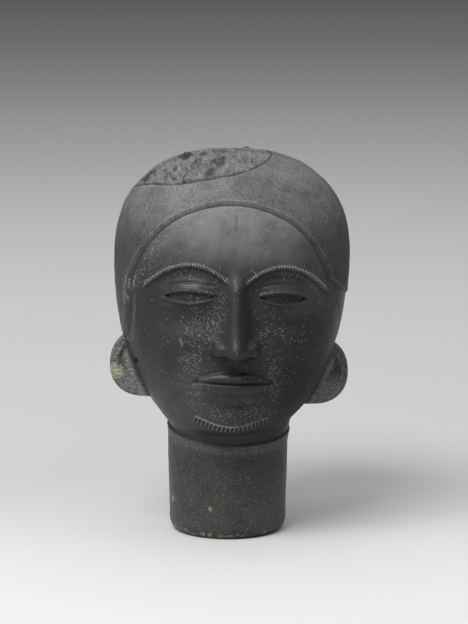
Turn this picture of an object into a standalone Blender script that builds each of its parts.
"""A memorial head in fired clay: a smooth egg of a head on a plain round neck.

The figure is one lump of clay, so it is one solid. Its skin is worked out as a distance from the
middle of the skull along a fan of rays, which lean with the head while the neck stays upright.
Face, ears, hair and crown are then carved on that skin as raised and sunk shapes.

Metres, +Z up, the face looks along -Y. The origin is the middle of the flat underside.
"""

import math

import bpy
import numpy as np

# Overall sizes
HEIGHT = 0.305
HEAD_LENGTH = 0.233
HEAD_WIDTH = 0.1830
HEAD_DEPTH = 0.176
NECK_DIAMETER = 0.0945
NECK_TAPER = 0.0012
NECK_FILLET = 0.007
BASE_EDGE_RADIUS = 0.009
HAIR_THICKNESS = 0.0012
EAR_DIAMETER = 0.052
EAR_THICKNESS = 0.0115
EAR_RIM = 0.0045
EAR_HOLLOW = 0.003
CROWN_PATCH_WIDTH = 0.0945
CROWN_PATCH_DEPTH = 0.115
PELLET_DIAMETER = 0.0075

# How the head sits on the neck
LEAN_BACK = math.radians(8.0)
LEAN_SIDE = math.radians(1.3)
TURN = math.radians(3.0)
HEAD_ASIDE = 0.0036

# Fineness of the skin before and after it is thinned
SKIN_ROWS = 420
SKIN_COLUMNS = 440
SOLID_TRIANGLES = 9600

# Proportions of the skull, as shares of the sizes above
CROWN_SHARE = 0.3536
FRONT_SHARE = 0.475
CROWN_POWER = 2.38
JAW_POWER = 2.1
ROUND_POWER = 2.25
ROUNDING = 0.1

# The carving is laid out in 233 shares of the head's length, measured from the skull's middle:
# +X to the viewer's right and +Z up, in the leaning head's own frame
SHARE = HEAD_LENGTH / 233
EAR_PLACE = (0.3735 * HEAD_WIDTH, -0.3886 * HEAD_LENGTH)
EAR_UNEVEN = 0.0079 * HEAD_LENGTH
EAR_BEARING = math.radians(92.0)
EAR_ROOT = 0.40 * HEAD_WIDTH
EAR_POWER = 2.6
EAR_SPREAD = EAR_THICKNESS / 2 / EAR_ROOT
JAW_ANGLE = math.radians(25.0)

# The arches of the brows and of the beard: a top and how strongly each bends down from it
BROW_TOP = (37.0, -9.0)
BROW_CURL = 0.0289
BEARD_DROP = (0.0, -127.0)
BEARD_CURL = -0.0065

# The ring about the top of the neck: its height, and its slope back and sideways
RING_HEIGHT = 84.0
RING_SLOPE = (-0.05, 0.16)

# The skin is made this much too long below, and then trimmed to a flat underside
TRIM = 0.0015

CLAY_COLOUR = (0.045, 0.044, 0.042, 1.0)


def smoothstep(low, high, value):
    """0 at low, 1 at high and a soft S between them, whichever is the larger."""
    t = np.clip((value - low) / (high - low), 0.0, 1.0)
    return t * t * (3.0 - 2.0 * t)


def mound(x, z, width, height, power=2.0):
    """A soft hill of height 1 that fades away about two widths or heights out."""
    return np.exp(-(np.abs(x / width) ** power + np.abs(z / height) ** power))


def ridge(distance, half_width):
    """A rounded bar of height 1 along a line, by distance from that line."""
    return np.clip(1.0 - (distance / half_width) ** 2, 0.0, 1.0) ** 1.5


def larger(a, b, softness):
    """The larger of two distances, with a hollow fillet where they cross."""
    return 0.5 * (a + b + np.sqrt((a - b) ** 2 + softness**2))


def head_frame():
    """The rotation that turns the head to one side and leans it back and aside."""
    turn_cos, turn_sin = math.cos(TURN), math.sin(TURN)
    back_cos, back_sin = math.cos(LEAN_BACK), math.sin(LEAN_BACK)
    side_cos, side_sin = math.cos(LEAN_SIDE), math.sin(LEAN_SIDE)
    about_z = np.array([[turn_cos, -turn_sin, 0], [turn_sin, turn_cos, 0], [0, 0, 1]])
    about_x = np.array([[1, 0, 0], [0, back_cos, back_sin], [0, -back_sin, back_cos]])
    about_y = np.array([[side_cos, 0, side_sin], [0, 1, 0], [-side_sin, 0, side_cos]])
    return about_y @ about_x @ about_z


def bulge(part, length, power):
    """A power of one part of a direction over a length, rounded off where the part is small."""
    return ((part**2 + ROUNDING**2) ** (power / 2) - ROUNDING**power) / length**power


def skull_distance(direction):
    """From the skull's middle to its skin: an egg, blunt above and long below."""
    x, y, z = np.moveaxis(direction, -1, 0)
    depth = HEAD_DEPTH * np.where(y < 0, FRONT_SHARE, 1 - FRONT_SHARE)
    length = HEAD_LENGTH * np.where(z > 0, CROWN_SHARE, 1 - CROWN_SHARE)
    power = np.where(z > 0, CROWN_POWER, JAW_POWER)
    across = bulge(x, HEAD_WIDTH / 2, ROUND_POWER) + bulge(y, depth, ROUND_POWER)
    return (across ** (power / ROUND_POWER) + bulge(z, length, power)) ** (-1 / power)


def neck_distance(direction, middle):
    """From the skull's middle to the neck's wall, by direction, or to just under the foot."""
    across = np.hypot(direction[..., 0], direction[..., 1]) + 1e-9
    down = np.maximum(-direction[..., 2], 1e-6)
    nearer = np.minimum(NECK_DIAMETER / 2 / across, (middle + TRIM) / down)
    return nearer * smoothstep(0.0, -0.4, direction[..., 2])


def shape_neck(points):
    """Draws the neck in a little towards its foot, and rounds the foot's edge."""
    height = points[..., 2:]
    taper = NECK_TAPER * smoothstep(0.20 * HEIGHT, 0.0, height)
    into_edge = 0.95 * np.clip(1.0 - height / BASE_EDGE_RADIUS, 0.0, 1.0)
    rounding = BASE_EDGE_RADIUS * (1.0 - np.sqrt(1.0 - into_edge**2))
    share = (taper + rounding) / (NECK_DIAMETER / 2)
    return points * np.concatenate([1 - share, 1 - share, np.ones_like(share)], axis=-1)


def spaced(low, high, count, weight):
    """count values from low to high that lie closer where weight is larger."""
    fine = np.linspace(low, high, 4000)
    total = np.cumsum(weight(fine))
    total = (total - total[0]) / (total[-1] - total[0])
    return np.interp(np.linspace(0.0, 1.0, count), total, fine)


def bearings():
    """Every column's bearing round the head, 0 at the face, close together there and at the ears."""
    ear_count = 40
    turn = np.linspace(-math.pi / 2, math.pi / 2, ear_count)
    place = np.sign(turn) * np.abs(np.sin(turn)) ** (2 / EAR_POWER)
    ear = EAR_BEARING + EAR_SPREAD * place
    front_edge = EAR_BEARING - EAR_SPREAD * 1.02
    back_edge = EAR_BEARING + EAR_SPREAD * 1.02
    plain_count = SKIN_COLUMNS - 2 * ear_count
    front_count = int(plain_count * 0.74)
    front = spaced(
        -front_edge, front_edge, front_count, lambda a: 0.35 + np.exp(-((a / 0.85) ** 4))
    )
    back = np.linspace(back_edge, 2 * math.pi - back_edge, plain_count - front_count)
    return np.concatenate([front, ear, back, 2 * math.pi - ear[::-1]])


def bare_distance(upright, frame, middle):
    """From the skull's middle to the skin of head and neck together."""
    skull = skull_distance(upright @ frame)
    away = larger(skull, neck_distance(upright, middle), NECK_FILLET)
    down = np.maximum(-upright[..., 2], 1e-6)
    return np.minimum(away, (middle + TRIM) / down)


def fan(angle, bearing, frame, foot_angle):
    """Rays that stand upright about the neck's foot and lean with the head from the jaw up."""
    ray = np.stack(
        [
            np.sin(angle) * np.sin(bearing),
            -np.sin(angle) * np.cos(bearing),
            -np.cos(angle),
        ],
        axis=-1,
    )
    share = np.clip((angle - foot_angle) / (JAW_ANGLE - foot_angle), 0.0, 1.0)[..., None]
    leaning = (1 - share) * ray + share * (ray @ frame.T)
    return leaning / np.linalg.norm(leaning, axis=-1, keepdims=True)


def bare_skin(frame, middle):
    """Head and neck before carving, as rows of points from the underside up to the crown."""
    foot_angle = math.atan(NECK_DIAMETER / 2 / (middle + TRIM))

    def row_weight(angle):
        away = bare_distance(fan(angle, 0 * angle, frame, foot_angle), frame, middle)
        step = np.hypot(np.gradient(away), away * (angle[1] - angle[0]))
        place = -away * np.cos(angle) / HEAD_LENGTH
        on_face = smoothstep(-0.66, -0.58, place) * smoothstep(0.26, 0.20, place)
        return step * (0.45 + on_face)

    angles = spaced(0.0, math.pi, SKIN_ROWS + 1, row_weight)[1:-1]
    angles = np.sort(np.append(angles, foot_angle))
    angle, bearing = np.meshgrid(angles, bearings(), indexing="ij")
    upright = fan(angle, bearing, frame, foot_angle)
    away = bare_distance(upright, frame, middle)
    return (upright @ frame) * away[..., None], bearing


def outward(points):
    """The unit normals of a skin that closes round from its last column to its first."""
    wrapped = np.concatenate([points[:, -1:], points, points[:, :1]], axis=1)
    along = np.gradient(points, axis=0)
    about = (wrapped[:, 2:] - wrapped[:, :-2]) / 2
    normal = np.cross(about, along)
    return normal / np.linalg.norm(normal, axis=-1, keepdims=True)


def beside_arch(x, z, top, curl):
    """How far a point lies above an arch that bends down from its top."""
    from_top = x - top[0]
    rise = z - (top[1] - 0.5 * curl * from_top**2)
    return rise / np.sqrt(1 + (curl * from_top) ** 2)


def broad_forms(side, x, z):
    """Eye hollows under the brows, cheeks, and the fullness about mouth and chin."""
    under_brow = smoothstep(1.5, -6.0, beside_arch(side, z, BROW_TOP, BROW_CURL))
    socket = mound(side - 36.0, z + 35.0, 26.0, 25.0, 3.0) * under_brow
    cheek = mound(side - 43.0, z + 70.0, 22.0, 19.0)
    muzzle = mound(x, z + 99.0, 32.0, 22.0)
    chin = mound(x, z + 128.0, 21.0, 12.0)
    return -7.0 * socket + 3.5 * cheek + 6.0 * muzzle + 9.0 * chin


def nose(side, z):
    """A ridge that widens and rises towards a rounded tip, with a wing at each side."""
    down = np.clip((-16.0 - z) / 54.0, 0.0, 1.0)
    root = smoothstep(-4.0, -28.0, z)
    under = smoothstep(-80.0, -75.0, z)
    width = 7.0 + 4.0 * down**2
    bridge = (4.5 + 14.5 * down**1.2) * root * np.exp(-((side / width) ** 2.4))
    tip = 2.6 * mound(side, z + 70.0, 7.5, 7.5)
    wing = 10.5 * mound(side - 12.6, z + 71.5, 5.4, 7.0, 2.6)
    return np.hypot(bridge + tip, wing) * under


def eye(side, z):
    """A calm almond eye: a rounded ball, and the edges of an upper and a lower lid."""
    across = (side - 36.5) / 19.0
    up = z + 33.0
    inside = np.clip(1.0 - across**2, 0.0, 1.0)
    upper = 3.2 * inside
    lower = -4.2 * inside
    ball = 8.2 * mound(side - 36.5, up, 18.5, 13.0, 2.8)
    opening = smoothstep(-0.5, 0.5, up - lower) * smoothstep(-0.5, 0.5, upper - up)
    opening = opening * smoothstep(0.0, 0.12, inside)
    lid_end = smoothstep(-0.2, 0.15, 1.0 - across**2)
    upper_lid = ridge(up - upper - 1.6, 2.2) * lid_end
    lower_lid = ridge(up - lower + 1.3, 1.9) * lid_end
    return ball + 1.6 * upper_lid + 1.0 * lower_lid - 1.5 * opening


def mouth(x, z):
    """Full closed lips that meet in a level line, and the groove under them."""
    across = np.abs(x) / 26.5
    inside = np.clip(1.0 - across**2, 0.0, 1.0)
    up = z + 97.0
    bow = 1.0 - 0.17 * np.exp(-((x / 4.5) ** 2))
    above = np.clip(up / (8.6 * inside**0.6 * bow + 0.01), 0.0, 1.0)
    below = np.clip(-up / (10.0 * inside**0.6 + 0.01), 0.0, 1.0)
    swell = np.where(up > 0, 1.0 - above**2.6, 1.0 - below**3.0)
    lips = 6.6 * swell**0.6 * inside**0.35
    parting = 2.8 * mound(up, 0.0, 1.2, 1.0) * smoothstep(1.12, 0.96, across)
    corner = 1.4 * mound(np.abs(x) - 28.0, up, 3.0, 2.6)
    groove = 2.2 * mound(x, z + 112.5, 16.0, 3.6)
    return lips - parting - corner - groove


def line_work(side, z):
    """A raised band along each brow, and the raised edge of a short beard under the lip."""
    brow_reach = smoothstep(6.0, 10.0, side) * smoothstep(72.0, 68.0, side)
    brow = ridge(beside_arch(side, z, BROW_TOP, BROW_CURL), 2.0) * brow_reach
    edge = ridge(beside_arch(side, z, BEARD_DROP, BEARD_CURL), 1.4)
    return 1.4 * brow + 0.8 * edge * smoothstep(28.5, 26.5, side)


def neck_ring(upright):
    """A soft fold about the top of the neck with a groove above it, sloping down to the front."""
    slope = RING_SLOPE[0] * upright[..., 0] + RING_SLOPE[1] * upright[..., 1]
    above = upright[..., 2] - RING_HEIGHT - slope
    return 0.7 * mound(above + 4.0, 0.0, 4.0, 1.0) - 0.7 * ridge(above - 2.0, 2.6)


def hair_depth(x, y, z):
    """How far a point lies inside the hair: below nothing on the face and on the nape."""
    stepped = 1.5 * smoothstep(0.0, -15.0, z) + 16.0 * smoothstep(-17.0, -30.0, z)
    temple = np.where(x > 0, 76.5 + stepped, 75.5)
    rise = np.clip(z + 32.0, 0.0, None) / 69.0
    front = (np.sqrt(((x + 4.5) / temple) ** 2 + rise**2) - 1.0) * 72.0
    front = np.minimum(front, z + 66.0)
    nape = z + 84.0 + 26.0 * smoothstep(10.0, 60.0, y)
    return np.where(y < 6.0, front, nape)


# Clay pellets on the front of the crown patch: sideways and back in shares, how large, and how
# much of each has not broken off
FRONT_PELLETS = (
    (-39, -31, 1.20, 1.0),
    (-67, -27, 1.20, 0.6),
    (-53, -36, 0.70, 0.1),
    (-30, -48, 1.35, 0.1),
    (-26, -33, 0.85, 0.0),
    (-15, -49, 1.35, 0.4),
    (-16, -27, 0.60, 0.3),
    (-10, -31, 0.75, 0.2),
    (2, -25, 0.85, 0.4),
    (9, 0, 0.75, 0.6),
    (-38, -57, 0.90, 0.2),
    (-21, -60, 0.85, 0.0),
)
BACK_PELLETS = 38
PATCH_PLACE = (-26.2, -13.1)
PATCH_TURN = math.radians(44.0)
PATCH_WANDER = 1.3
PATCH_WIDE = CROWN_PATCH_WIDTH / 2 / SHARE
PATCH_DEEP = CROWN_PATCH_DEPTH / 2 / SHARE


def pellets():
    """The front pellets, and further ones that wind out over the back of the patch."""
    placed = list(FRONT_PELLETS)
    golden_turn = 2.4
    for step in range(BACK_PELLETS):
        out = 0.86 * math.sqrt((step + 1.5) / (BACK_PELLETS + 1.5))
        sideways = PATCH_WIDE * out * math.cos(step * golden_turn)
        endways = PATCH_DEEP * out * math.sin(step * golden_turn)
        across = PATCH_PLACE[0] + sideways * math.cos(PATCH_TURN) - endways * math.sin(PATCH_TURN)
        back = PATCH_PLACE[1] + sideways * math.sin(PATCH_TURN) + endways * math.cos(PATCH_TURN)
        if back > 17:
            placed.append((across, back, 0.75 + 0.12 * (step % 4), (step * 3 % 5) / 4))
    return placed


def crown(x, y, z):
    """The patch is sunk a little inside an incised edge and carries the pellets."""
    across, back = x - PATCH_PLACE[0], y - PATCH_PLACE[1]
    sideways = (across * math.cos(PATCH_TURN) + back * math.sin(PATCH_TURN)) / PATCH_WIDE
    endways = (back * math.cos(PATCH_TURN) - across * math.sin(PATCH_TURN)) / PATCH_DEEP
    from_edge = (np.hypot(sideways, endways) - 1.0) * PATCH_WIDE
    from_edge += PATCH_WANDER * np.cos(2 * math.pi * (x + 14.0) / 75.0)
    sunk = 0.7 * smoothstep(0.4, -0.6, from_edge) + 0.8 * ridge(from_edge, 1.3)
    raised = np.zeros_like(x)
    for pellet_x, pellet_y, size, left in pellets():
        radius = PELLET_DIAMETER / 2 / SHARE * size
        gap = np.hypot(x - pellet_x, y - pellet_y) / radius
        raised = np.maximum(raised, 0.9 * radius * left * np.clip(1.0 - gap**3, 0, 1) ** 0.6)
    return (raised - sunk) * smoothstep(24.0, 36.0, z)


def add_ears(points, bearing):
    """Draws the skin out sideways between two bearings into a round flange on each side."""
    bearing = np.where(bearing > math.pi, 2 * math.pi - bearing, bearing)
    place = (bearing - EAR_BEARING) / EAR_SPREAD
    across = np.clip(1.0 - np.abs(place) ** EAR_POWER, 0.0, 1.0) ** (1 / EAR_POWER)
    side, radius = np.abs(points[..., 0]), EAR_DIAMETER / 2
    level = EAR_PLACE[1] - EAR_UNEVEN * np.sign(points[..., 0])
    up = (points[..., 2] - level) / radius
    upper = np.where(up > 0, 0.93, 1.03)
    half_round = np.clip(1.0 - np.abs(up * upper) ** 2.2, 0.0, 1.0) ** (1 / 2.2)
    reach = EAR_PLACE[0] + radius * half_round - side
    out = np.where(half_round > 0, np.maximum(reach, 0.0), 0.0) * across
    from_middle = np.hypot((side + out - EAR_PLACE[0]) / radius, up * upper)
    inner = 1.0 - EAR_RIM / radius
    dish = smoothstep(inner, inner - 0.16, from_middle) * smoothstep(-0.5, 0.1, up)
    front = smoothstep(0.0, -0.5, place) * smoothstep(0.0, 0.25, across)
    moved = points.copy()
    moved[..., 0] += np.sign(points[..., 0]) * out
    moved[..., 1] += 0.14 * out + EAR_HOLLOW * dish * front * (out > 0)
    return moved


def carve(points, frame, middle):
    """Adds the face, the hair's edge, the crown and the neck's ring to the bare skin."""
    normal = outward(points)
    x, y, z = np.moveaxis(points / SHARE, -1, 0)
    side = np.abs(x)
    on_face = smoothstep(-8.0, -30.0, y) * smoothstep(-143.0, -134.0, z)
    hair = hair_depth(x, y, z)
    step = HAIR_THICKNESS / SHARE * smoothstep(-0.6, 3.0, hair) - 0.5 * ridge(hair, 1.1)
    step = step * smoothstep(-118.0, -114.0, z)
    upright = (points @ frame.T + np.array([0.0, 0.0, middle])) / SHARE
    face = broad_forms(side, x, z) + eye(side, z) + line_work(side, z)
    proud = face * on_face + step + crown(x, y, z) + neck_ring(upright)
    forward = (nose(side, z) + mouth(x, z)) * on_face
    overhang = 0.18 * nose(side, z) * on_face
    carved = points + normal * (proud * SHARE)[..., None]
    carved[..., 1] -= forward * SHARE
    carved[..., 2] -= overhang * SHARE
    return carved


def set_upright(points, frame, middle):
    """Leans the carved head, and sets it a little aside of the neck's axis."""
    placed = points @ frame.T + np.array([0.0, 0.0, middle])
    junction = middle - HEAD_LENGTH * (1 - CROWN_SHARE)
    share = smoothstep(junction, junction + 0.04, placed[..., 2])
    placed[..., 0] += HEAD_ASIDE * share
    return shape_neck(placed)


def closed_mesh(name, rows):
    """One mesh from a grid of rows that close round, with a point at each end."""
    row_count, column_count, _ = rows.shape
    index = np.arange(row_count * column_count).reshape(row_count, column_count)
    after = np.roll(index, -1, axis=1)
    quads = np.stack([index[:-1], after[:-1], after[1:], index[1:]], axis=-1)
    low, high = row_count * column_count, row_count * column_count + 1
    foot = [(low, b, a) for a, b in zip(index[0].tolist(), after[0].tolist())]
    crest = [(high, a, b) for a, b in zip(index[-1].tolist(), after[-1].tolist())]
    ends = [rows[0].mean(axis=0).tolist(), rows[-1].mean(axis=0).tolist()]
    vertices = rows.reshape(-1, 3).tolist() + ends
    mesh = bpy.data.meshes.new(name)
    mesh.from_pydata(vertices, [], quads.reshape(-1, 4).tolist() + foot + crest)
    mesh.update()
    return mesh


def clay():
    """Blackened fired clay with a dull burnish."""
    material = bpy.data.materials.new("blackened_clay")
    material.use_nodes = True
    shader = material.node_tree.nodes["Principled BSDF"]
    shader.inputs["Base Color"].default_value = CLAY_COLOUR
    shader.inputs["Roughness"].default_value = 0.55
    shader.inputs["Metallic"].default_value = 0.0
    return material


def floor_cutter():
    """A block under the figure that trims its underside flat."""
    size = NECK_DIAMETER * 2
    bpy.ops.mesh.primitive_cube_add(size=size, location=(0, 0, -size / 2))
    cutter = bpy.context.object
    cutter.name = "floor_cutter"
    cutter.hide_render = True
    cutter.display_type = "WIRE"
    return cutter


def build():
    """Makes the whole figure as one object."""
    middle = HEIGHT - HAIR_THICKNESS - HEAD_LENGTH * CROWN_SHARE
    frame = head_frame()
    bare, bearing = bare_skin(frame, middle)
    carved = carve(bare, frame, middle)
    skin = set_upright(add_ears(carved, bearing), frame, middle)
    mesh = closed_mesh("memorial_head", skin)
    head = bpy.data.objects.new("memorial_head", mesh)
    bpy.context.scene.collection.objects.link(head)
    mesh.shade_smooth()
    mesh.materials.append(clay())
    thin = head.modifiers.new("thin", "DECIMATE")
    thin.ratio = SOLID_TRIANGLES / (2 * SKIN_ROWS * SKIN_COLUMNS)
    flat = head.modifiers.new("flat_underside", "BOOLEAN")
    flat.operation = "DIFFERENCE"
    flat.object = floor_cutter()
    return head


for left_over in list(bpy.data.objects):
    bpy.data.objects.remove(left_over)
build()
